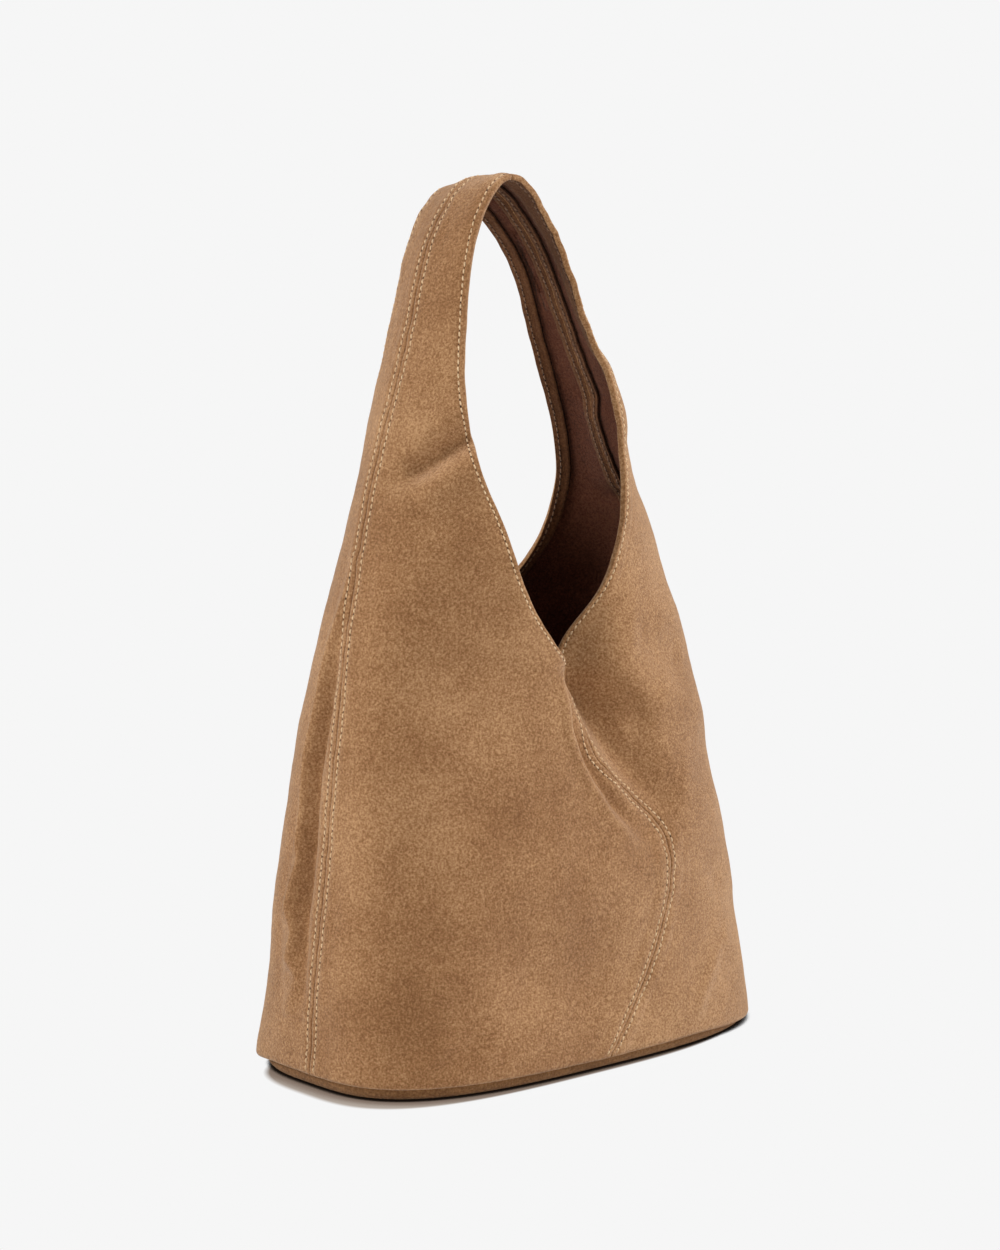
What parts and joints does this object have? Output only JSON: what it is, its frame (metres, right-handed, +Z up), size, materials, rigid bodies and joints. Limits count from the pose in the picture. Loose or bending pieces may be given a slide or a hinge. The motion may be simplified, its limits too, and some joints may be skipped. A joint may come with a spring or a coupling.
{
  "type": "hobo bag",
  "caption": "Slouchy suede hobo bag with a V-shaped open mouth, a one-piece shoulder strap, topstitched seams, a magnetic closure and an inner zip pocket.",
  "frame": {"origin": "centre of the foot on the floor", "axes": "+Z up, -Y towards the front, +X to the right seen from the front"},
  "size_m": [0.3011, 0.1725, 0.4916],
  "materials": {
    "suede": "napped suede, mottled tan",
    "suede_base": "napped suede, darker tan",
    "thread": "twisted thread, matte",
    "pocket_cotton": "cotton twill, matte",
    "zip_tape": "woven tape",
    "brass": "brushed",
    "magnet_steel": "satin",
    "board": "matte stiffener board"
  },
  "bodies": {
    "bag": {"back_left_panel": "suede", "back_right_panel": "suede", "base_board": "board", "base_liner": "pocket_cotton", "base_panel": "suede_base", "centre_seam_thread_back": "thread", "centre_seam_thread_front": "thread", "closure_tab_back": "suede", "closure_tab_front": "suede", "front_left_panel": "suede", "front_right_panel": "suede", "hem_thread_back_left": "thread", "hem_thread_back_right": "thread", "hem_thread_front_left": "thread", "hem_thread_front_right": "thread", "magnet_socket": "magnet_steel", "magnet_stud": "magnet_steel", "pocket_back_sheet": "pocket_cotton", "pocket_front_sheet": "pocket_cotton", "pocket_hanger": "pocket_cotton", "side_seam_thread_left": "thread", "side_seam_thread_right": "thread", "zip_stops": "brass", "zip_tape_lower": "zip_tape", "zip_tape_upper": "zip_tape", "zip_teeth_lower": "brass", "zip_teeth_upper": "brass"},
    "strap": {"strap_back_left": "suede", "strap_back_right": "suede", "strap_front_left": "suede", "strap_front_right": "suede", "strap_hem_thread_back": "thread", "strap_hem_thread_front": "thread", "strap_seam_thread": "thread"},
    "slider": {"zip_slider": "brass"},
    "puller": {"zip_puller": "brass"}
  },
  "joints": [
    {"name": "strap_tilt", "type": "hinge", "parent": "bag", "child": "strap", "pos_m": [0, 0.00424, 0.335], "axis": [1, 0, 0], "range_deg": [-50, 50], "stiffness_Nm_per_rad": 0.2},
    {"name": "zip_slide", "type": "slide", "parent": "bag", "child": "slider", "axis": [1, 0, 0], "range_m": [-0.092, 0]},
    {"name": "puller_flip", "type": "hinge", "parent": "slider", "child": "puller", "pos_m": [0.046, 0.0684, 0.177], "axis": [-1, 0, 0], "range_deg": [0, 170]}
  ]
}
